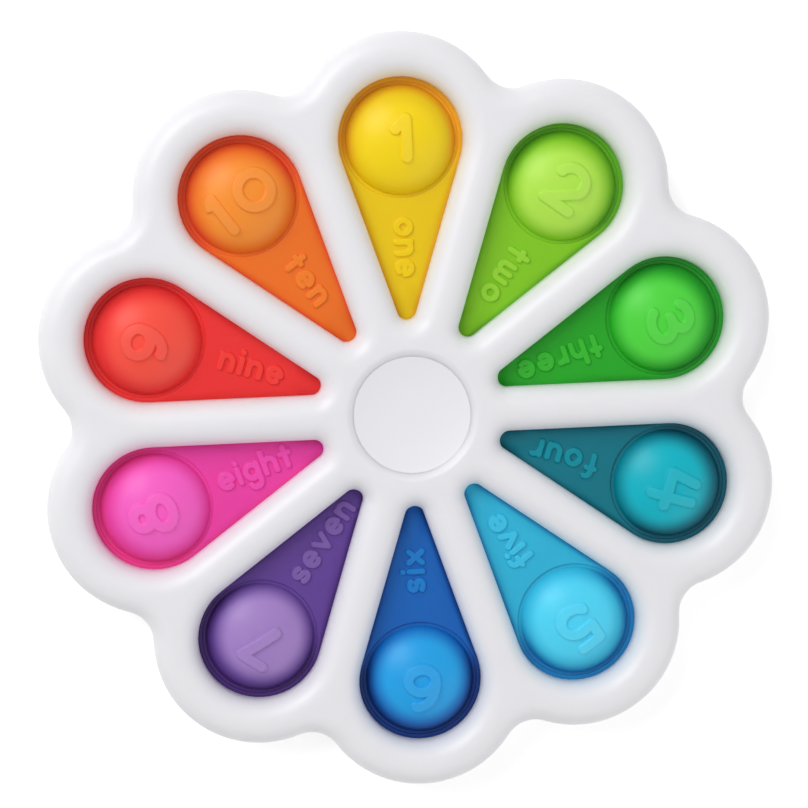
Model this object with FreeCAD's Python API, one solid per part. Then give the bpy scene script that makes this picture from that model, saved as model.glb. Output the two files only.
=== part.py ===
"""A hand-held push-bubble number spinner: a ten-lobed white plastic flower that turns on a
ball bearing between two finger caps, with a coloured silicone bubble in each lobe.

Units are millimetres. The flower lies flat, its numbered face up. The origin is at the centre
of its back face, +Z points out of the numbered face and +Y through lobe one. The lobes count
clockwise seen from the front. The bearing is a standard 22 x 8 x 7 mm one.
"""

import math
import os

import FreeCAD
import Part

Vec = FreeCAD.Vector

# --- flower -----------------------------------------------------------------------------
lobe_count = 10
lobe_pitch = 360.0 / lobe_count
bubble_circle = 46.0        # radius of the circle that the bubble centres lie on
window_radius = 10.5        # round end of each teardrop window
tip_circle = 17.5           # radius of the circle that the window tip centres lie on
rim_width = 7.5             # plastic outside each window
valley_radius = 5.3         # hollow between two lobes
thickness = 12.0
crest_radius = 3.55         # rounding of every rib and of the rim
wall = 2.0                  # moulding thickness of the two shells
ceiling = 2.0               # plastic left over the hollow channels

half_angle = math.radians(lobe_pitch / 2)
# the tips are as round as makes the sides of two neighbouring windows parallel
tip_radius = window_radius - (bubble_circle - tip_circle) * math.sin(half_angle)
lobe_radius = window_radius + rim_width
mid = thickness / 2         # parting plane of the shells

# --- bearing and finger caps ------------------------------------------------------------
bearing_outer = 11.0
bearing_bore = 4.0
bearing_width = 7.0
inner_land = 6.05           # outside of the inner ring
outer_land = 8.95           # inside of the outer ring
ball_radius = 1.984
ball_circle = 7.5
ball_count = 7
race_gap = 0.03             # running gap between a ball and its groove
shield_inner = 6.5
shield_outer = 9.35
shield_thickness = 0.3
shield_depth = 0.35         # how far a shield lies below the ring's face
cage_inner = 6.6
cage_outer = 8.4
cage_bottom = -2.6
cage_top = 1.0              # lower than a ball's top, so the balls snap in from above
cage_pocket_gap = 0.08

collar_radius = bearing_outer + 2.2
cap_opening = 9.85
cap_slope_radius = 11.1     # a gentle slope leads down from here to the cap
cap_slope_round = 0.8
lip_opening = 9.15          # lip under the cap's flange, which closes the gap to the bearing
lip_thickness = 0.85
cap_radius = 9.78
cap_rim_depth = 0.7         # cap's rim below the flower's crest
cap_flange_thickness = 0.65
cap_body_radius = 8.85
cap_face_gap = 0.25         # between the cap and the bearing's outer ring
cap_dish_depth = 1.0
cap_edge_round = 0.2
cap_edge_land = 0.1         # flat between the cap's rounded edge and its dish
boss_radius = 5.6
stub_gap = 0.4              # between the two caps' stubs inside the bore

# --- silicone inserts -------------------------------------------------------------------
flange_width = 1.6
floor_thickness = 2.0
dome_hole = 9.7
dome_height = 5.6           # top of the bubble above the parting plane
dome_foot_radius = 8.6
dome_foot_height = 0.6      # thin ring round the bubble's foot, a little below the floor
dome_shoulder = 3.6         # rounding of the bubble's side
dome_wall = 1.0
crown_radius = 5.0          # the stiff crown, which the thin skirt carries

# --- shell fixings ----------------------------------------------------------------------
post_circle = 51.0
boss_outer = 2.6
socket_radius = 1.5
socket_depth = 3.4
pin_radius = 1.45
pin_length = 3.0


def polar(radius, angle_deg, z=0.0):
    a = math.radians(angle_deg)
    return Vec(radius * math.cos(a), radius * math.sin(a), z)


def arc(centre, radius, start_deg, end_deg):
    """Arc in the XY plane from start_deg to end_deg, which may run either way."""
    points = [centre + polar(radius, start_deg + (end_deg - start_deg) * t) for t in (0, 0.5, 1)]
    return Part.Arc(*points).toShape()


def lobe_angle(index):
    """Direction of a lobe's axis, degrees; index 0 is lobe one."""
    return 90.0 - lobe_pitch * index


def turned(shape, index):
    """A shape made about lobe one, copied to another lobe."""
    copy = shape.copy()
    copy.rotate(Vec(0, 0, 0), Vec(0, 0, 1), -lobe_pitch * index)
    return copy


def prism(wire, z_low, z_high):
    face = Part.Face(wire)
    face.translate(Vec(0, 0, z_low))
    return face.extrude(Vec(0, 0, z_high - z_low))


def teardrop(offset=0.0):
    """Outline of lobe one's window, grown by offset."""
    big, small = window_radius + offset, tip_radius + offset
    lean = lobe_pitch / 2
    big_centre, tip_centre = Vec(0, bubble_circle, 0), Vec(0, tip_circle, 0)
    right_top, right_low = big_centre + polar(big, -lean), tip_centre + polar(small, -lean)
    left_top, left_low = big_centre + polar(big, 180 + lean), tip_centre + polar(small, 180 + lean)
    edges = [
        arc(big_centre, big, -lean, 180 + lean),
        Part.LineSegment(left_top, left_low).toShape(),
        arc(tip_centre, small, 180 + lean, 360 - lean),
        Part.LineSegment(right_low, right_top).toShape(),
    ]
    return Part.Wire(edges)


def flower_outline(inset=0.0):
    """Ten lobe arcs joined by ten valley arcs, shrunk by inset."""
    lobe, valley = lobe_radius - inset, valley_radius + inset
    sideways = bubble_circle * math.sin(half_angle)
    valley_circle = bubble_circle * math.cos(half_angle) + math.sqrt((lobe + valley) ** 2 - sideways**2)
    edges = []
    for index in range(lobe_count):
        axis = lobe_angle(index)
        lobe_centre = polar(bubble_circle, axis)
        valley_centre = polar(valley_circle, axis - lobe_pitch / 2)
        across = valley_centre - lobe_centre
        meet = math.degrees(math.atan2(across.y, across.x)) - axis
        meet = (meet + 180) % 360 - 180
        edges.append(arc(lobe_centre, lobe, axis - meet, axis + meet))
        from_lobe = axis + meet + 180
        to_next = 2 * (axis - lobe_pitch / 2) - from_lobe
        turn = (to_next - from_lobe + 180) % 360 - 180
        edges.append(arc(valley_centre, valley, from_lobe, from_lobe + turn))
    return Part.Wire(edges)


def cylinder(radius, z_low, z_high, centre=Vec(0, 0, 0)):
    return Part.makeCylinder(radius, z_high - z_low, centre + Vec(0, 0, z_low))


def rounded_slab():
    """Front half of the flower: windows and cap opening cut, every crest rounded."""
    slab = prism(flower_outline(), mid, thickness)
    for index in range(lobe_count):
        slab = slab.cut(turned(prism(teardrop(), mid - 1, thickness + 1), index))
    crests = [e for e in slab.Edges if all(abs(v.Z - thickness) < 1e-6 for v in e.Vertexes)]
    slab = slab.makeFillet(crest_radius, crests)
    slab = slab.cut(cylinder(lip_opening, mid - 1, thickness + 1))
    slab = slab.cut(cylinder(cap_opening, mid + bearing_width / 2 + lip_thickness, thickness + 1))
    slope = Part.makeCone(cap_opening, cap_slope_radius, cap_rim_depth, Vec(0, 0, thickness - cap_rim_depth))
    slab = slab.cut(slope)
    rim = [
        e
        for e in slab.Edges
        if isinstance(e.Curve, Part.Circle)
        and abs(e.Curve.Radius - cap_slope_radius) < 1e-6
        and abs(e.CenterOfMass.z - thickness) < 1e-6
    ]
    return slab.makeFillet(cap_slope_round, rim)


def channels():
    """Hollow inside a shell: under the window walls first, then between them."""
    core = prism(flower_outline(wall), mid - 1, thickness - ceiling)
    core = core.cut(cylinder(collar_radius, mid - 2, thickness))
    window_wall = prism(teardrop(wall), mid + floor_thickness / 2, thickness)
    for index in range(lobe_count):
        core = core.cut(turned(window_wall, index))
        post = polar(post_circle, lobe_angle(index) - lobe_pitch / 2)
        core = core.cut(cylinder(boss_outer, mid - 2, thickness, post))
    return core


def half_shell():
    shell = rounded_slab().cut(channels())
    return shell.cut(cylinder(bearing_outer, mid - 1, mid + bearing_width / 2))


def post_centres():
    return [polar(post_circle, lobe_angle(i) - lobe_pitch / 2) for i in range(lobe_count)]


def front_shell(half):
    for centre in post_centres():
        half = half.cut(cylinder(socket_radius, mid - 1, mid + socket_depth, centre))
    return half


def flipped(shape):
    """A shape of the front half turned over about the Y axis to the back half."""
    copy = shape.copy()
    copy.rotate(Vec(0, 0, mid), Vec(0, 1, 0), 180)
    return copy


def back_shell(half):
    shell = flipped(half)
    for centre in post_centres():
        shell = shell.fuse(cylinder(pin_radius, mid - 1, mid + pin_length, centre))
    return shell.removeSplitter()


def revolve(points):
    """Full turn about Z of a closed outline of (radius, z) points, z from the parting plane."""
    corners = [Vec(r, 0, mid + z) for r, z in points]
    face = Part.Face(Part.makePolygon(corners + corners[:1]))
    return face.revolve(Vec(0, 0, 0), Vec(0, 0, 1), 360)


def raceway():
    return Part.makeTorus(ball_circle, ball_radius + race_gap, Vec(0, 0, mid))


def outer_ring():
    top, seat = bearing_width / 2, bearing_width / 2 - shield_depth - shield_thickness
    ring = revolve(
        [
            (bearing_outer, -top), (bearing_outer, top), (shield_outer, top), (shield_outer, seat),
            (outer_land, seat), (outer_land, -seat), (shield_outer, -seat), (shield_outer, -top),
        ]
    )
    return ring.cut(raceway())


def inner_ring():
    top = bearing_width / 2
    ring = revolve([(bearing_bore, -top), (inner_land, -top), (inner_land, top), (bearing_bore, top)])
    return ring.cut(raceway())


def ball_centres():
    return [polar(ball_circle, 90 + 360.0 / ball_count * i, mid) for i in range(ball_count)]


def balls():
    return [Part.makeSphere(ball_radius, centre) for centre in ball_centres()]


def cage():
    low, high = cage_bottom, cage_top
    ring = revolve([(cage_inner, low), (cage_outer, low), (cage_outer, high), (cage_inner, high)])
    pocket = ball_radius + cage_pocket_gap
    for centre in ball_centres():
        ring = ring.cut(Part.makeSphere(pocket, centre))
    return ring


def shield():
    top = bearing_width / 2 - shield_depth
    low = top - shield_thickness
    return revolve([(shield_inner, low), (shield_outer, low), (shield_outer, top), (shield_inner, top)])


def finger_cap():
    """Front cap: a dished pad in the flower's opening, a boss on the inner ring, a stub in its bore."""
    rim = thickness - cap_rim_depth
    face = mid + bearing_width / 2
    flange = cylinder(cap_radius, rim - cap_flange_thickness, rim)
    top_edge = [e for e in flange.Edges if e.Closed and e.CenterOfMass.z > rim - 1e-6]
    flange = flange.makeFillet(cap_edge_round, top_edge)
    pad = flange.fuse(cylinder(cap_body_radius, face + cap_face_gap, rim - cap_flange_thickness))
    dish_edge = cap_radius - cap_edge_round - cap_edge_land
    dish_radius = (dish_edge**2 + cap_dish_depth**2) / (2 * cap_dish_depth)
    pad = pad.cut(Part.makeSphere(dish_radius, Vec(0, 0, rim - cap_dish_depth + dish_radius)))
    boss = cylinder(boss_radius, face, face + cap_face_gap)
    stub = cylinder(bearing_bore, mid + stub_gap / 2, face)
    return pad.fuse(boss).fuse(stub).removeSplitter()


# each face of the bubble is a ball's cap on a rounded shoulder, and the two meet smoothly
dome_rise = dome_height - dome_foot_height
dome_ball = (
    ((dome_foot_radius - dome_shoulder) ** 2 + dome_rise**2 - dome_shoulder**2)
    / (2 * (dome_rise - dome_shoulder))
)


def dome_face(depth):
    """Section of the face that lies depth below the bubble's outside, from its foot to the axis."""
    shoulder_centre = Vec(dome_foot_radius - dome_shoulder, 0, mid + dome_foot_height)
    top_centre = Vec(0, 0, mid + dome_height - dome_ball)
    lean = shoulder_centre - top_centre
    meet = math.atan2(lean.z, lean.x)
    edges = []
    for centre, radius, start, end in (
        (shoulder_centre, dome_shoulder - depth, 0, meet),
        (top_centre, dome_ball - depth, meet, math.pi / 2),
    ):
        angles = (start, (start + end) / 2, end)
        points = [centre + Vec(radius * math.cos(a), 0, radius * math.sin(a)) for a in angles]
        edges.append(Part.Arc(*points).toShape())
    return edges


def dome_shell():
    """Bubble of lobe one, with the thin ring of silicone round its foot."""
    inner_radius = dome_foot_radius - dome_wall
    bottom = dome_foot_height - dome_wall
    foot = [
        (dome_foot_radius, dome_foot_height), (dome_hole, dome_foot_height),
        (dome_hole, bottom), (inner_radius, bottom), (inner_radius, dome_foot_height),
    ]
    apex = [(0, dome_height - dome_wall), (0, dome_height)]
    edges = dome_face(0) + dome_face(dome_wall)
    for line in (foot, apex):
        edges += Part.makePolygon([Vec(r, 0, mid + z) for r, z in line]).Edges
    section = Part.Wire(Part.sortEdges(edges)[0])
    dome = Part.Face(section).revolve(Vec(0, 0, 0), Vec(0, 0, 1), 360)
    dome.translate(Vec(0, bubble_circle, 0))
    return dome


def crown_core():
    return cylinder(crown_radius, mid, mid + dome_height + 1, Vec(0, bubble_circle, 0))


def silicone_insert():
    """Flange and leg floor of one insert, with the round hole that its dome fills."""
    plate = prism(teardrop(flange_width), mid - floor_thickness / 2, mid + floor_thickness / 2)
    return plate.cut(cylinder(dome_hole, 0, thickness, Vec(0, bubble_circle, 0)))


def save(name, *solids):
    shape = solids[0] if len(solids) == 1 else Part.makeCompound(list(solids))
    if not shape.isValid() or any(s.Volume <= 0 for s in shape.Solids):
        raise ValueError(f"{name} is not a sound solid")
    shape.exportStep(f"parts/{name}.step")
    print(f"{name}: {len(shape.Solids)} solid(s), {shape.Volume:.1f} mm3")


def main():
    os.makedirs("parts", exist_ok=True)

    half = half_shell()
    save("front_shell", front_shell(half))
    save("back_shell", back_shell(half))

    save("bearing_outer_ring", outer_ring())
    save("bearing_inner_ring", inner_ring())
    save("bearing_balls", *balls())
    save("bearing_cage", cage())
    save("bearing_shield_front", shield())
    save("bearing_shield_back", flipped(shield()))
    save("finger_cap_front", finger_cap())
    save("finger_cap_back", flipped(finger_cap()))

    insert = silicone_insert()
    crown = dome_shell().common(crown_core())
    skirt = dome_shell().cut(crown_core())
    for index in range(lobe_count):
        number = f"{index + 1:02d}"
        save(f"insert_{number}", turned(insert, index))
        save(f"dome_crown_{number}", turned(crown, index))
        save(f"dome_skirt_{number}", turned(skirt, index))


main()
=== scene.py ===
import math

import bmesh
import bpy
import numpy as np
from mathutils import Matrix, Vector


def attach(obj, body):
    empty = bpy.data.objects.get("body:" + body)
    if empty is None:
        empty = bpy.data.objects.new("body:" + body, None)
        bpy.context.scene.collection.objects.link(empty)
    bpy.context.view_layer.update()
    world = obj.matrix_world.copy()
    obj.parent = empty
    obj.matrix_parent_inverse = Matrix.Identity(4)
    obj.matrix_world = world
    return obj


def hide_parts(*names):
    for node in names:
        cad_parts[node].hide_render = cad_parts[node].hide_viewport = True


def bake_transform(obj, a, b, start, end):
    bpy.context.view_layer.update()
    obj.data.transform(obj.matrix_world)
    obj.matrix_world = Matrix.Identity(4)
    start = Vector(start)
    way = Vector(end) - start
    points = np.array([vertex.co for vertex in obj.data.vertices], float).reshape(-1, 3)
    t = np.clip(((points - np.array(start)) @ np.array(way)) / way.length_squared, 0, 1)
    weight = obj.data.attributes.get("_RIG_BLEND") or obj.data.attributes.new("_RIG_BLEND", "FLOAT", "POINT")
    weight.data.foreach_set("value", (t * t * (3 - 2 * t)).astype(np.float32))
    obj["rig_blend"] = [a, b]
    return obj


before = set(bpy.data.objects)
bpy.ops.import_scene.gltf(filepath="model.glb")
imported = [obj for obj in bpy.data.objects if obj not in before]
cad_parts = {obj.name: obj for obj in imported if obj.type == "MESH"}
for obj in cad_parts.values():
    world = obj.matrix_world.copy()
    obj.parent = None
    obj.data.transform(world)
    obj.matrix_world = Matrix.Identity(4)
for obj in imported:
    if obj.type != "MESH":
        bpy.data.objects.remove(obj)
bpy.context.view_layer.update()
mm = 0.001

# Each lobe's word and numeral, where its word starts and ends on the leg (mm from the spin
# axis), and its silicone colours: the bubble's top with painted light, the floor, and the painted shade deep
# in the well
lobes = [
    {"word": "one", "numeral": "1", "from": 33.0, "to": 22.9,
     "litBubble": "FFDD11", "floor": "EECC11", "wellShade": "EEAA20"},
    {"word": "two", "numeral": "2", "from": 33.6, "to": 22.8,
     "litBubble": "BBEE55", "floor": "88CC22", "wellShade": "61AD20"},
    {"word": "three", "numeral": "3", "from": 34.7, "to": 19.5,
     "litBubble": "55DD44", "floor": "22AA22", "wellShade": "259A2B"},
    {"word": "four", "numeral": "4", "from": 33.7, "to": 21.5,
     "litBubble": "00BBCC", "floor": "007788", "wellShade": "03586A"},
    {"word": "five", "numeral": "5", "from": 33.2, "to": 22.8,
     "litBubble": "55DDFF", "floor": "33BBDD", "wellShade": "1B7EBA"},
    {"word": "six", "numeral": "6", "from": 31.2, "to": 23.4,
     "litBubble": "22AAEE", "floor": "1166BB", "wellShade": "053277"},
    {"word": "seven", "numeral": "7", "from": 34.7, "to": 18.5,
     "litBubble": "AA88CC", "floor": "664499", "wellShade": "472871"},
    {"word": "eight", "numeral": "8", "from": 34.7, "to": 21.2,
     "litBubble": "FF66CC", "floor": "EE44AA", "wellShade": "EA4093"},
    {"word": "nine", "numeral": "9", "from": 33.6, "to": 22.3,
     "litBubble": "FF5544", "floor": "EE3333", "wellShade": "E43534"},
    {"word": "ten", "numeral": "10", "from": 33.1, "to": 23.7,
     "litBubble": "FF9933", "floor": "EE7722", "wellShade": "E8562B"},
]
lobePitch = math.radians(360 / len(lobes))
pureWhite = (1, 1, 1, 1)
touching = 1e-4  # mm, within which two points are one


def linear(hexColour):
    parts = [int(hexColour[i:i + 2], 16) / 255 for i in (0, 2, 4)]
    return tuple(c / 12.92 if c < 0.04045 else ((c + 0.055) / 1.055) ** 2.4 for c in parts) + (1.0,)


def arc(x, y, xRadius, yRadius, start, end, steps=20):
    return [
        (x + xRadius * math.cos(math.radians(a)), y + yRadius * math.sin(math.radians(a)))
        for a in np.linspace(start, end, steps)
    ]


# Centre lines of the raised numerals, mm from the middle of the bubble, +Y away from the hub
numerals = {
    "1": [[(-1.1, 1.7), (0.75, 3.4), (0.75, -3.0)]],
    "2": [arc(0.45, 1.25, 2.45, 2.25, 165, -32) + [(-2.0, -3.3), (2.9, -3.3)]],
    "3": [
        arc(0.2, 2.2, 2.1, 1.6, 155, -90) + [(-0.1, 0.58)],
        [(0.2, 0.58)] + arc(0.6, -1.2, 2.5, 1.75, 90, -90) + arc(0.6, -1.2, 2.7, 1.75, 265, 205, 8),
    ],
    "4": [[(-1.35, 4.1), (-2.3, -0.35), (3.6, -0.35)], [(1.93, 4.2), (1.93, -3.0)]],
    "5": [
        [(1.9, 4.1), (-1.75, 4.1), (-1.95, 1.35)] + arc(0.35, -0.72, 2.25, 2.12, 90, -90)
        + arc(0.35, -0.72, 2.9, 2.12, 265, 207, 8)
    ],
    "6": [arc(0.6, -0.4, 2.95, 4.5, 80, 180), arc(0.0, -0.5, 2.35, 1.95, 0, 360, 40)],
    "7": [[(-2.7, 3.6), (1.4, 3.6), (-1.4, -2.6)]],
    "8": [arc(-0.45, 2.3, 1.7, 1.5, 0, 360, 36), arc(-0.6, -1.1, 2.5, 1.8, 0, 360, 40)],
    "9": [arc(-1.0, 1.2, 2.85, 4.1, 0, -100), arc(-0.4, 1.3, 2.25, 2.0, 0, 360, 40)],
    "10": [[(-5.2, 2.2), (-4.1, 3.0), (-4.1, -3.4)], arc(2.6, -0.2, 2.75, 2.85, 0, 360, 48)],
}

# Centre lines of the lower-case letters, mm: x along the word, baseline at y 0, and each width
xHeight = 2.3
letters = {
    "e": (2.1, [[(0.05, 1.15), (2.1, 1.15)] + arc(1.05, 1.15, 1.05, 1.15, 0, 305, 30)]),
    "f": (1.5, [
        [(0.6, 0.0), (0.6, 2.9)] + arc(1.35, 2.9, 0.75, 0.8, 180, 75, 10),
        [(0.0, 2.2), (1.4, 2.2)],
    ]),
    "g": (2.1, [
        arc(1.05, 1.15, 1.05, 1.15, 0, 360, 30),
        [(2.1, 2.3), (2.1, -0.7)] + arc(1.15, -0.7, 0.95, 0.9, 0, -155, 14),
    ]),
    "h": (1.9, [[(0.0, 3.7), (0.0, 0.0)], arc(0.95, 1.25, 0.95, 1.05, 180, 0, 14) + [(1.9, 0.0)]]),
    "i": (0.0, [[(0.0, 2.3), (0.0, 0.0)], [(0.0, 3.4), (0.0, 3.42)]]),
    "n": (1.9, [[(0.0, 2.3), (0.0, 0.0)], arc(0.95, 1.25, 0.95, 1.05, 180, 0, 14) + [(1.9, 0.0)]]),
    "o": (2.2, [arc(1.1, 1.15, 1.1, 1.15, 0, 360, 30)]),
    "r": (1.2, [[(0.0, 2.3), (0.0, 0.0)], arc(1.1, 1.2, 1.1, 1.1, 180, 85, 10)]),
    "s": (1.8, [
        arc(0.9, 1.72, 0.8, 0.58, 35, 270, 16) + arc(0.9, 0.57, 0.85, 0.57, 90, -145, 16),
    ]),
    "t": (1.4, [[(0.7, 3.3), (0.7, 0.0)], [(0.0, 2.2), (1.4, 2.2)]]),
    "u": (1.9, [
        [(0.0, 2.3), (0.0, 1.05)] + arc(0.95, 1.05, 0.95, 1.05, 180, 360, 14),
        [(1.9, 2.3), (1.9, 0.0)],
    ]),
    "v": (2.2, [[(0.0, 2.3), (1.1, 0.05), (2.2, 2.3)]]),
    "w": (3.0, [
        [(0.0, 2.3)] + arc(0.75, 0.75, 0.75, 0.75, 180, 360, 12) + [(1.5, 2.3)],
        [(1.5, 2.3)] + arc(2.25, 0.75, 0.75, 0.75, 180, 360, 12) + [(3.0, 2.3)],
    ]),
    "x": (1.9, [[(0.0, 0.0), (1.9, 2.3)], [(0.0, 2.3), (1.9, 0.0)]]),
}


def wordLines(lobe, halfWidth):
    # Centre lines of a lobe's word, run down the leg from its outer end, letter tops towards +X
    widths = [letters[letter][0] for letter in lobe["word"]]
    length = lobe["from"] - lobe["to"] - 2 * halfWidth
    gap = (length - sum(widths)) / (len(widths) - 1)
    lines, start = [], lobe["from"] - halfWidth
    for letter, width in zip(lobe["word"], widths):
        for line in letters[letter][1]:
            lines.append([(y - xHeight / 2, start - x) for x, y in line])
        start -= width + gap
    return lines


def raised(points, lines, halfWidth, edge):
    # 1 on the strokes that follow the lines, 0 off them, with a smooth flank edge wide
    nearest = np.full(len(points), np.inf)
    for line in lines:
        ends = np.array(line)
        for a, b in zip(ends[:-1], ends[1:]):
            along = b - a
            t = np.clip((points - a) @ along / max(along @ along, 1e-12), 0, 1)
            gap = points - a - t[:, None] * along
            nearest = np.minimum(nearest, np.hypot(gap[:, 0], gap[:, 1]))
    t = np.clip((halfWidth + edge / 2 - nearest) / edge, 0, 1)
    return t * t * (3 - 2 * t)


# mm, and steps round a curve: the window in the frame, its bubble, the plate under both, the strokes
window = {
    "circle": 46.0, "radius": 10.5, "tipCircle": 17.5, "flange": 1.5, "endSteps": 72, "tipSteps": 24,
}
bubble = {
    "radius": 9.2, "rise": 4.77, "foot": 6.7, "fullness": 0.66, "wall": 1.0, "steps": 256,
    "fillet": 0.12, "ringOuter": 9.75, "edge": 0.16, "ledge": 10.1, "patch": 6.2, "grain": 0.1,
    "flankSteps": 34, "hollowSteps": 24,
}
plate = {"top": 7.0, "bottom": 5.0}
figure = {"halfWidth": 0.92, "edge": 0.32, "height": 0.5}
lettering = {"halfWidth": 0.52, "edge": 0.26, "height": 0.42, "margin": 0.3, "grain": 0.09}


def bubbleHeight(radius):
    # Height of the bubble's outside at a distance from its axis
    share = np.clip(1 - (radius / bubble["radius"]) ** 2, 0, 1)
    return bubble["foot"] + bubble["rise"] * share ** bubble["fullness"]


def bubbleProfile():
    # (radius, z) of a bubble: its top, side, the ring round its foot, the ledge, then below, the hollow
    radii = np.arange(0, bubble["patch"], bubble["grain"])
    start = math.asin(radii[-1] / bubble["radius"])
    flank = bubble["radius"] * np.sin(np.linspace(start, math.pi / 2, bubble["flankSteps"])[1:-1])
    radii = np.concatenate((radii, flank))
    outside = list(zip(radii, bubbleHeight(radii)))
    fillet, edge = bubble["fillet"], bubble["edge"]
    outside += arc(bubble["radius"] + fillet, bubble["foot"] + fillet, fillet, fillet, 200, 270, 5)
    step = (plate["top"] - bubble["foot"] - edge) / 2
    outside += arc(bubble["ringOuter"] - step, bubble["foot"] + step, step, step, 270, 360, 4)
    outside += arc(bubble["ringOuter"] + edge, plate["top"] - edge, edge, edge, 180, 90, 6)
    outside.append((bubble["ledge"], plate["top"]))
    inner, low = bubble["radius"] - bubble["wall"], bubble["foot"] - bubble["wall"]
    hollow = [(bubble["ringOuter"], plate["bottom"]), (bubble["ringOuter"], low), (inner, low)]
    radii = inner * np.cos(np.linspace(0, math.pi / 2, bubble["hollowSteps"]))[1:]
    share = 1 - (radii / inner) ** 2
    ceiling = bubble["foot"] + (bubble["rise"] - bubble["wall"]) * share ** bubble["fullness"]
    hollow += list(zip(radii, ceiling))
    return outside, hollow


def bubbleMesh():
    # The bubble of lobe one, outside and hollow, before it is joined to a plate
    mesh = bmesh.new()
    centre = Vector((0, window["circle"], 0))
    for profile in bubbleProfile():
        line = [mesh.verts.new(centre + Vector((r, 0, z))) for r, z in profile]
        edges = [mesh.edges.new(pair) for pair in zip(line[:-1], line[1:])]
        bmesh.ops.spin(
            mesh, geom=line + edges, cent=centre, axis=(0, 0, 1), angle=2 * math.pi,
            steps=bubble["steps"], use_merge=True,
        )
    bmesh.ops.remove_doubles(mesh, verts=mesh.verts, dist=touching)
    data = bpy.data.meshes.new("bubble")
    mesh.to_mesh(data)
    mesh.free()
    return data


def windowOutline(offset):
    # Points round lobe one's teardrop window grown by offset: round outer end, straight sides, round tip
    lean = math.degrees(lobePitch / 2)
    tipRadius = window["radius"] - (window["circle"] - window["tipCircle"]) * math.sin(lobePitch / 2)
    outerRadius, tipRadius = window["radius"] + offset, tipRadius + offset
    outer = arc(0, window["circle"], outerRadius, outerRadius, -lean, 180 + lean, window["endSteps"])
    tip = arc(0, window["tipCircle"], tipRadius, tipRadius, 180 + lean, 360 - lean, window["tipSteps"])
    return outer + tip


def loopOf(mesh, points, z):
    verts = [mesh.verts.new((x, y, z)) for x, y in points]
    return [mesh.edges.new((verts[i - 1], verts[i])) for i in range(len(verts))]


def rimOf(mesh, z):
    # Open edges that lie in the plane at height z
    return [e for e in mesh.edges if e.is_boundary and all(abs(v.co.z - z) < 1e-5 for v in e.verts)]


def siliconePiece(index, lobe, base):
    # One lobe's silicone as a single closed skin: plate, ring, bubble, raised figure and word
    number = f"{index + 1:02d}"
    mesh = bmesh.new()
    mesh.from_mesh(base)

    # a fine patch of floor carries the word
    lines = wordLines(lobe, lettering["halfWidth"])
    corners = np.array([point for line in lines for point in line])
    reach = lettering["halfWidth"] + lettering["margin"]
    low, high = corners.min(axis=0) - reach, corners.max(axis=0) + reach
    cells = [int((high[i] - low[i]) / lettering["grain"]) for i in (0, 1)]
    middle = Vector((*((low + high) / 2), plate["top"]))
    stretch = Matrix.Translation(middle) @ Matrix.Diagonal((*(high - low), 1, 1))
    bmesh.ops.create_grid(mesh, x_segments=cells[0], y_segments=cells[1], size=0.5, matrix=stretch)

    top = rimOf(mesh, plate["top"]) + loopOf(mesh, windowOutline(window["flange"]), plate["top"])
    bmesh.ops.triangle_fill(mesh, edges=top, use_beauty=True, normal=(0, 0, 1))
    sides = bmesh.ops.extrude_edge_only(mesh, edges=rimOf(mesh, plate["top"]))["geom"]
    for vert in (part for part in sides if isinstance(part, bmesh.types.BMVert)):
        vert.co.z = plate["bottom"]
    bmesh.ops.triangle_fill(mesh, edges=rimOf(mesh, plate["bottom"]), use_beauty=True, normal=(0, 0, -1))
    bmesh.ops.recalc_face_normals(mesh, faces=mesh.faces)
    for face in mesh.faces:
        face.smooth = True

    data = bpy.data.meshes.new(f"silicone_{number}")
    mesh.to_mesh(data)
    mesh.free()
    places = np.empty(len(data.vertices) * 3)
    data.vertices.foreach_get("co", places)
    places = places.reshape(-1, 3)
    fromAxis = places[:, :2] - (0, window["circle"])
    radius = np.hypot(fromAxis[:, 0], fromAxis[:, 1])
    outside = places[:, 2] > bubbleHeight(radius) - bubble["wall"] / 2
    onBubble = (radius < bubble["patch"]) & outside
    onFloor = (radius > bubble["ledge"]) & (abs(places[:, 2] - plate["top"]) < touching)
    relief = np.zeros(len(places))
    strokes = numerals[lobe["numeral"]]
    relief[onBubble] = raised(fromAxis[onBubble], strokes, figure["halfWidth"], figure["edge"])
    relief[onFloor] = raised(places[onFloor, :2], lines, lettering["halfWidth"], lettering["edge"])
    places[:, 2] += relief * np.where(onFloor, lettering["height"], figure["height"])
    data.vertices.foreach_set("co", (places * mm).ravel())
    data.attributes.new("relief", "FLOAT", "POINT").data.foreach_set("value", relief)
    data.transform(Matrix.Rotation(-lobePitch * index, 4, "Z"))
    data.update()

    piece = bpy.data.objects.new(f"silicone_{number}", data)
    bpy.context.scene.collection.objects.link(piece)
    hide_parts(f"insert_{number}", f"dome_crown_{number}", f"dome_skirt_{number}")

    # pushed in, each ring of the bubble goes about as far below the plate's top as it stood above
    axis = Matrix.Rotation(-lobePitch * index, 3, "Z") @ Vector((0, window["circle"] * mm, 0))
    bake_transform(piece, "frame", f"bubble_{number}", axis, axis + Vector((0, 0, bubble["rise"] * mm)))
    crest = bubble["foot"] + bubble["rise"]
    share = np.clip((bubbleHeight(radius) - plate["top"]) / (crest - plate["top"]), 0, 1)
    data.attributes["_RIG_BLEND"].data.foreach_set("value", share)
    return piece


# mm, for the front cap; the back one is turned over about the middle height
cap = {
    "radius": 9.83, "rim": 11.3, "edge": 0.01, "dish": 1.2, "dishPower": 2.4, "flange": 0.65, "steps": 256,
    "body": 8.85, "under": 9.75, "boss": 5.6, "bossTop": 9.5, "bore": 4.0, "stub": 6.2, "middle": 6.0,
    "dishSteps": 40, "crease": 30,
}


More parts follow.
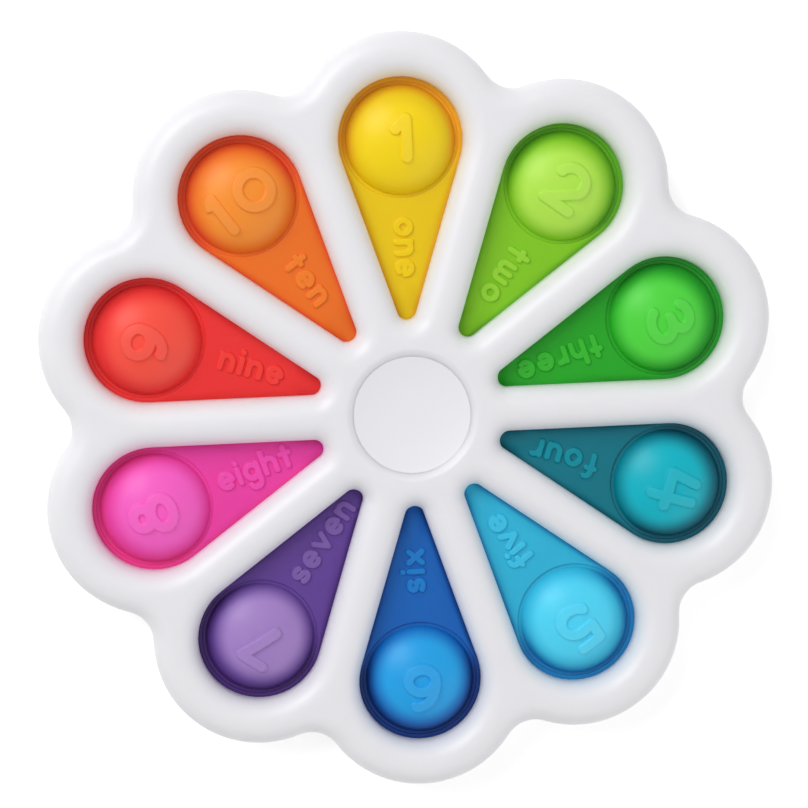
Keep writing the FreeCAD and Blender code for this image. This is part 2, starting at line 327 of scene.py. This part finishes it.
def fingerCap(side):
    # One dished pad with its boss and the stub that fits the bearing's bore
    edge, rimRadius = cap["edge"], cap["radius"] - cap["edge"]
    dish = [
        (r, cap["rim"] - cap["dish"] * (1 - (r / rimRadius) ** cap["dishPower"]))
        for r in rimRadius * np.sin(np.linspace(0, math.pi / 2, cap["dishSteps"]))
    ]
    rounding = arc(rimRadius, cap["rim"] - edge, edge, edge, 80, 0, 6)
    below = [
        (cap["radius"], cap["rim"] - cap["flange"]), (cap["body"], cap["rim"] - cap["flange"]),
        (cap["body"], cap["under"]), (cap["boss"], cap["under"]), (cap["boss"], cap["bossTop"]),
        (cap["bore"], cap["bossTop"]), (cap["bore"], cap["stub"]), (0, cap["stub"]),
    ]
    mesh = bmesh.new()
    line = [mesh.verts.new((r * mm, 0, z * mm)) for r, z in dish + rounding + below]
    edges = [mesh.edges.new(pair) for pair in zip(line[:-1], line[1:])]
    bmesh.ops.spin(
        mesh, geom=line + edges, cent=(0, 0, 0), axis=(0, 0, 1), angle=2 * math.pi,
        steps=cap["steps"], use_merge=True,
    )
    bmesh.ops.remove_doubles(mesh, verts=mesh.verts, dist=1e-7)
    if side == "back":
        turn = Matrix.Rotation(math.pi, 4, "Y")
        turn.translation.z = 2 * cap["middle"] * mm
        bmesh.ops.transform(mesh, matrix=turn, verts=mesh.verts)
    bmesh.ops.recalc_face_normals(mesh, faces=mesh.faces)
    for face in mesh.faces:
        face.smooth = True
    for crease in (e for e in mesh.edges if e.calc_face_angle(0) > math.radians(cap["crease"])):
        crease.smooth = False
    data = bpy.data.meshes.new(f"pad_{side}")
    mesh.to_mesh(data)
    mesh.free()
    pad = bpy.data.objects.new(f"pad_{side}", data)
    bpy.context.scene.collection.objects.link(pad)
    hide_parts(f"finger_cap_{side}")
    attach(pad, "hub")
    return pad


def newMaterial(name):
    material = bpy.data.materials.new(name)
    material.use_nodes = True
    nodes = material.node_tree.nodes
    return material, nodes, material.node_tree.links, nodes["Principled BSDF"]


def maths(nodes, links, operation, first, second=None):
    node = nodes.new("ShaderNodeMath")
    node.operation = operation
    for socket, value in zip(node.inputs, (first, second)):
        if isinstance(value, (int, float)):
            socket.default_value = value
        elif value is not None:
            links.new(value, socket)
    return node.outputs[0]


def rootOfSquares(nodes, links, first, second):
    squares = [maths(nodes, links, "POWER", side, 2) for side in (first, second)]
    return maths(nodes, links, "SQRT", maths(nodes, links, "ADD", *squares))


def ramp(nodes, links, value, low, high):
    # 0 at low, 1 at high, smooth between and level beyond; high may be the smaller of the two
    node = nodes.new("ShaderNodeMapRange")
    node.interpolation_type = "SMOOTHSTEP"
    links.new(value, node.inputs["Value"])
    node.inputs["From Min"].default_value = low
    node.inputs["From Max"].default_value = high
    return node.outputs["Result"]


def blended(nodes, links, share, first, second):
    node = nodes.new("ShaderNodeMix")
    node.data_type = "RGBA"
    for name, value in (("Factor", share), ("A", first), ("B", second)):
        socket = next(s for s in node.inputs if s.name == name and s.type in ("RGBA", "VALUE") and s.enabled)
        if isinstance(value, (float, tuple)):
            socket.default_value = value
        else:
            links.new(value, socket)
    return next(s for s in node.outputs if s.type == "RGBA")


noiseDetail = 3


def grain(nodes, links, coordinates, finish):
    # Fine moulded grain as a bump, its depth in mm
    noise = nodes.new("ShaderNodeTexNoise")
    noise.inputs["Scale"].default_value = finish["grainScale"]
    noise.inputs["Detail"].default_value = noiseDetail
    links.new(coordinates, noise.inputs["Vector"])
    bump = nodes.new("ShaderNodeBump")
    bump.inputs["Strength"].default_value = finish["grainStrength"]
    bump.inputs["Distance"].default_value = finish["grainDepth"] * mm
    links.new(noise.outputs["Fac"], bump.inputs["Height"])
    return bump.outputs["Normal"]


# The wall and leg ramps place painted shade near the walls; the bubble ramps and the shift towards the hub
# place painted light on the bubble's top; the two lifts lighten the raised strokes as painted light
siliconeFinishAndPaintedLight = {
    "roughness": 0.38, "shine": 0.36, "scatter": 0.22, "scatterDepth": 1.2, "letterLitShare": 0.3,
    "wallFrom": 7.2, "wallTo": 9.2, "legFrom": 9.5, "legTo": 10.6, "bubbleFrom": 5.6, "bubbleTo": 8.9,
    "litShiftToHub": 0.85, "figureHighlight": 0.018, "endFrom": -7, "endTo": 0, "cloud": 0.08, "cloudScale": 0.35,
    "index": 1.41, "grainScale": 6.0, "grainStrength": 0.12, "grainDepth": 0.04,
}


def siliconeMaterial(index, lobe):
    # Translucent silicone, with painted light on the bubble's top and painted shade, a deeper colour,
    # towards the moat and the walls
    material, nodes, links, shader = newMaterial(f"silicone{lobe['word'].capitalize()}")
    place = nodes.new("ShaderNodeTexCoord")
    toLobe = nodes.new("ShaderNodeMapping")
    toLobe.inputs["Rotation"].default_value = (0, 0, lobePitch * index)
    toLobe.inputs["Scale"].default_value = (1 / mm, 1 / mm, 1 / mm)
    links.new(place.outputs["Object"], toLobe.inputs["Vector"])
    split = nodes.new("ShaderNodeSeparateXYZ")
    links.new(toLobe.outputs["Vector"], split.inputs["Vector"])
    across = maths(nodes, links, "ABSOLUTE", split.outputs["X"])
    along = maths(nodes, links, "SUBTRACT", split.outputs["Y"], window["circle"])

    # distance from the window's middle line that grows to the window's radius at every wall
    lean = lobePitch / 2
    sideways = maths(nodes, links, "MULTIPLY", across, math.cos(lean))
    line = maths(nodes, links, "SUBTRACT", sideways, maths(nodes, links, "MULTIPLY", along, math.sin(lean)))
    outwards = maths(
        nodes, links, "ADD", maths(nodes, links, "MULTIPLY", across, math.sin(lean)),
        maths(nodes, links, "MULTIPLY", along, math.cos(lean)),
    )
    outwards = maths(nodes, links, "MAXIMUM", outwards, 0)
    toWall = rootOfSquares(nodes, links, line, outwards)
    # painted light: the lit disc on the bubble is centred this far towards the hub
    fromCrest = maths(nodes, links, "ADD", along, siliconeFinishAndPaintedLight["litShiftToHub"])
    radius = rootOfSquares(nodes, links, across, fromCrest)

    litBubble, floorTone, wellShade = (linear(lobe[key]) for key in ("litBubble", "floor", "wellShade"))
    # painted shade: the floor colour deepens towards the leg walls and round the outer end of the well
    nearLegWall = ramp(nodes, links, toWall, siliconeFinishAndPaintedLight["legFrom"], siliconeFinishAndPaintedLight["legTo"])
    nearEndWall = ramp(nodes, links, toWall, siliconeFinishAndPaintedLight["wallFrom"], siliconeFinishAndPaintedLight["wallTo"])
    inEnd = ramp(nodes, links, along, siliconeFinishAndPaintedLight["endFrom"], siliconeFinishAndPaintedLight["endTo"])
    nearEndWall = maths(nodes, links, "MULTIPLY", nearEndWall, inEnd)
    wallShade = maths(nodes, links, "MAXIMUM", nearLegWall, nearEndWall)
    colour = blended(nodes, links, wallShade, floorTone, wellShade)
    # painted light: the bubble's top takes a lighter colour, fading out towards its foot
    onBubble = ramp(nodes, links, radius, siliconeFinishAndPaintedLight["bubbleTo"], siliconeFinishAndPaintedLight["bubbleFrom"])
    colour = blended(nodes, links, onBubble, colour, litBubble)

    relief = nodes.new("ShaderNodeAttribute")
    relief.attribute_name = "relief"
    # painted light: raised letters take some of the bubble's lit colour
    litLetters = maths(nodes, links, "MULTIPLY", relief.outputs["Fac"], siliconeFinishAndPaintedLight["letterLitShare"])
    colour = blended(nodes, links, litLetters, colour, litBubble)
    # painted highlight: raised numerals on the bubble turn slightly paler
    figureHighlightShare = maths(nodes, links, "MULTIPLY", relief.outputs["Fac"], onBubble)
    figureHighlightShare = maths(nodes, links, "MULTIPLY", figureHighlightShare, siliconeFinishAndPaintedLight["figureHighlight"])
    colour = blended(nodes, links, figureHighlightShare, colour, pureWhite)

    cloud = nodes.new("ShaderNodeTexNoise")
    cloud.inputs["Scale"].default_value = siliconeFinishAndPaintedLight["cloudScale"]
    links.new(toLobe.outputs["Vector"], cloud.inputs["Vector"])
    clouded = maths(nodes, links, "MULTIPLY", cloud.outputs["Fac"], siliconeFinishAndPaintedLight["cloud"])
    colour = blended(nodes, links, clouded, colour, wellShade)

    links.new(colour, shader.inputs["Base Color"])
    links.new(colour, shader.inputs["Subsurface Radius"])
    shader.inputs["Subsurface Weight"].default_value = siliconeFinishAndPaintedLight["scatter"]
    shader.inputs["Subsurface Scale"].default_value = siliconeFinishAndPaintedLight["scatterDepth"] * mm
    shader.inputs["Roughness"].default_value = siliconeFinishAndPaintedLight["roughness"]
    shader.inputs["Specular IOR Level"].default_value = siliconeFinishAndPaintedLight["shine"]
    shader.inputs["IOR"].default_value = siliconeFinishAndPaintedLight["index"]
    normal = grain(nodes, links, toLobe.outputs["Vector"], siliconeFinishAndPaintedLight)
    links.new(normal, shader.inputs["Normal"])
    return material


shellFinish = {
    "colour": "F1F0F5", "roughness": 0.4, "coat": 0.1, "coatRoughness": 0.3,
    "scatter": 0.6, "capScatter": 0.0, "scatterDepth": 2.5,
    "seam": "8E8D96", "seamShare": 0.55, "seamHeight": 6.0, "seamFrom": 0.12, "seamTo": 0.04,
    "wearScale": 90, "smoother": 0.04, "rougher": 0.05,
    "grainScale": 2600, "grainStrength": 0.06, "grainDepth": 0.03,
}


def shellMaterial(name, scatter):
    # White moulded plastic: satin, a trace of grain, and a fine dark line where the two shells meet
    material, nodes, links, shader = newMaterial(name)
    place = nodes.new("ShaderNodeTexCoord")
    split = nodes.new("ShaderNodeSeparateXYZ")
    links.new(place.outputs["Object"], split.inputs["Vector"])
    aboveSeam = maths(nodes, links, "SUBTRACT", split.outputs["Z"], shellFinish["seamHeight"] * mm)
    offSeam = maths(nodes, links, "ABSOLUTE", aboveSeam)
    seam = ramp(nodes, links, offSeam, shellFinish["seamFrom"] * mm, shellFinish["seamTo"] * mm)
    white = linear(shellFinish["colour"])
    seam = maths(nodes, links, "MULTIPLY", seam, shellFinish["seamShare"])
    colour = blended(nodes, links, seam, white, linear(shellFinish["seam"]))
    links.new(colour, shader.inputs["Base Color"])
    wear = nodes.new("ShaderNodeTexNoise")
    wear.inputs["Scale"].default_value = shellFinish["wearScale"]
    links.new(place.outputs["Object"], wear.inputs["Vector"])
    rough = nodes.new("ShaderNodeMapRange")
    links.new(wear.outputs["Fac"], rough.inputs["Value"])
    rough.inputs["To Min"].default_value = shellFinish["roughness"] - shellFinish["smoother"]
    rough.inputs["To Max"].default_value = shellFinish["roughness"] + shellFinish["rougher"]
    links.new(rough.outputs["Result"], shader.inputs["Roughness"])
    shader.inputs["Coat Weight"].default_value = shellFinish["coat"]
    shader.inputs["Coat Roughness"].default_value = shellFinish["coatRoughness"]
    shader.inputs["Subsurface Weight"].default_value = scatter
    shader.inputs["Subsurface Scale"].default_value = shellFinish["scatterDepth"] * mm
    shader.inputs["Subsurface Radius"].default_value = (1.0, 1.0, 1.0)
    links.new(grain(nodes, links, place.outputs["Object"], shellFinish), shader.inputs["Normal"])
    return material


metalFinish = {
    "ball": {"colour": "C9CACD", "roughness": 0.08}, "ring": {"colour": "A5A6AA", "roughness": 0.28},
    "markScale": 1500, "least": 0.7, "most": 1.3,
}


def metalMaterial(part):
    # Ground or polished bearing steel, between the least and the most of its roughness
    material, nodes, links, shader = newMaterial(f"{part}Steel")
    roughness = metalFinish[part]["roughness"]
    place = nodes.new("ShaderNodeTexCoord")
    lathe = nodes.new("ShaderNodeTexNoise")
    lathe.inputs["Scale"].default_value = metalFinish["markScale"]
    links.new(place.outputs["Object"], lathe.inputs["Vector"])
    rough = nodes.new("ShaderNodeMapRange")
    links.new(lathe.outputs["Fac"], rough.inputs["Value"])
    rough.inputs["To Min"].default_value = roughness * metalFinish["least"]
    rough.inputs["To Max"].default_value = roughness * metalFinish["most"]
    links.new(rough.outputs["Result"], shader.inputs["Roughness"])
    shader.inputs["Base Color"].default_value = linear(metalFinish[part]["colour"])
    shader.inputs["Metallic"].default_value = 1.0
    return material


cageFinish = {
    "colour": "2B2B2E", "roughness": 0.6, "grainScale": 1800, "grainStrength": 0.2, "grainDepth": 0.05,
}


def cageMaterial():
    # Dark moulded nylon
    material, nodes, links, shader = newMaterial("cageNylon")
    place = nodes.new("ShaderNodeTexCoord")
    shader.inputs["Base Color"].default_value = linear(cageFinish["colour"])
    shader.inputs["Roughness"].default_value = cageFinish["roughness"]
    links.new(grain(nodes, links, place.outputs["Object"], cageFinish), shader.inputs["Normal"])
    return material


shell = shellMaterial("framePlastic", shellFinish["scatter"])
finishes = {
    "front_shell": shell, "back_shell": shell,
    "bearing_balls": metalMaterial("ball"), "bearing_cage": cageMaterial(),
}
ringSteel = metalMaterial("ring")
for name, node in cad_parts.items():
    if name.startswith(("insert", "dome", "finger_cap")):
        continue
    for slot in node.material_slots:
        slot.material = finishes.get(name, ringSteel)
print("shells and bearing finished")

for side in ("front", "back"):
    fingerCap(side).data.materials.append(shellMaterial("capPlastic", shellFinish["capScatter"]))
print("finger caps made")

base = bubbleMesh()
print("bubble made")
for index, lobe in enumerate(lobes):
    piece = siliconePiece(index, lobe, base)
    piece.data.materials.append(siliconeMaterial(index, lobe))
    print("silicone", index + 1, len(piece.data.polygons))

floorValues = {"size": 3.0, "grey": 0.88, "roughness": 0.9, "whiteness": 0.45}


def seenDirectly(nodes, links):
    # 1 for what the camera sees, also in a reflection or through something clear, and 0 for light
    path = nodes.new("ShaderNodeLightPath")
    direct = maths(nodes, links, "MAXIMUM", path.outputs["Is Camera Ray"], path.outputs["Is Glossy Ray"])
    return maths(nodes, links, "MAXIMUM", direct, path.outputs["Is Transmission Ray"])


bpy.ops.mesh.primitive_plane_add(size=floorValues["size"])
floor = bpy.context.object
floor.name = "floor"
floorPaint, nodes, links, shader = newMaterial("floorPaint")
shader.inputs["Base Color"].default_value = (*(floorValues["grey"],) * 3, 1)
shader.inputs["Roughness"].default_value = floorValues["roughness"]
shader.inputs["Emission Color"].default_value = pureWhite
glow = maths(nodes, links, "MULTIPLY", seenDirectly(nodes, links), floorValues["whiteness"])
links.new(glow, shader.inputs["Emission Strength"])
floor.data.materials.append(floorPaint)
print("floor laid")

lamps = {
    "key": {"from": (-0.5, 0.55, 0.7), "size": 0.6, "power": 5.75},
    "fill": {"from": (0.7, -0.6, 0.45), "size": 1.2, "power": 3.0},
}
for name, lamp in lamps.items():
    data = bpy.data.lights.new(name, "AREA")
    data.size, data.energy = lamp["size"], lamp["power"]
    light = bpy.data.objects.new(name, data)
    light.location = lamp["from"]
    light.rotation_mode = "QUATERNION"
    light.rotation_quaternion = Vector(lamp["from"]).to_track_quat("Z", "Y")
    bpy.context.scene.collection.objects.link(light)

print("lamps hung")

roomValues = {"light": 0.46, "seen": 1.0}
world = bpy.data.worlds.new("studio")
world.use_nodes = True
nodes, links = world.node_tree.nodes, world.node_tree.links
extra = maths(nodes, links, "MULTIPLY", seenDirectly(nodes, links), roomValues["seen"] - roomValues["light"])
strength = maths(nodes, links, "ADD", extra, roomValues["light"])
nodes["Background"].inputs["Color"].default_value = pureWhite
links.new(strength, nodes["Background"].inputs["Strength"])
bpy.context.scene.world = world

cameraValues = {
    "lens": 106.4, "sensor": 36, "distance": 0.400,
    "tilt": 8.14, "leansTo": 126.7, "roll": -2.1,
    "aimRight": -0.00145, "aimUp": 0.00193, "aimHeight": 0.012,
}
tilt, lean, roll = (math.radians(cameraValues[k]) for k in ("tilt", "leansTo", "roll"))
back = Vector((math.sin(tilt) * math.cos(lean), math.sin(tilt) * math.sin(lean), math.cos(tilt)))
right = Vector((0, 1, 0)).cross(back).normalized()
up = back.cross(right)
turned = (math.cos(roll) * right + math.sin(roll) * up, -math.sin(roll) * right + math.cos(roll) * up)
hub = Vector((0, 0, cameraValues["aimHeight"]))
place = hub + back * cameraValues["distance"]
aim = hub + turned[0] * cameraValues["aimRight"] + turned[1] * cameraValues["aimUp"]
back = (place - aim).normalized()
right = (turned[0] - back * turned[0].dot(back)).normalized()
up = back.cross(right)
cameraData = bpy.data.cameras.new("camera")
cameraData.lens = cameraValues["lens"]
cameraData.sensor_width = cameraValues["sensor"]
camera = bpy.data.objects.new("camera", cameraData)
camera.matrix_world = Matrix.Translation(place) @ Matrix((right, up, back)).transposed().to_4x4()
bpy.context.scene.collection.objects.link(camera)
bpy.context.scene.camera = camera
print("camera set")

scene = bpy.context.scene
scene.view_settings.view_transform = "Standard"
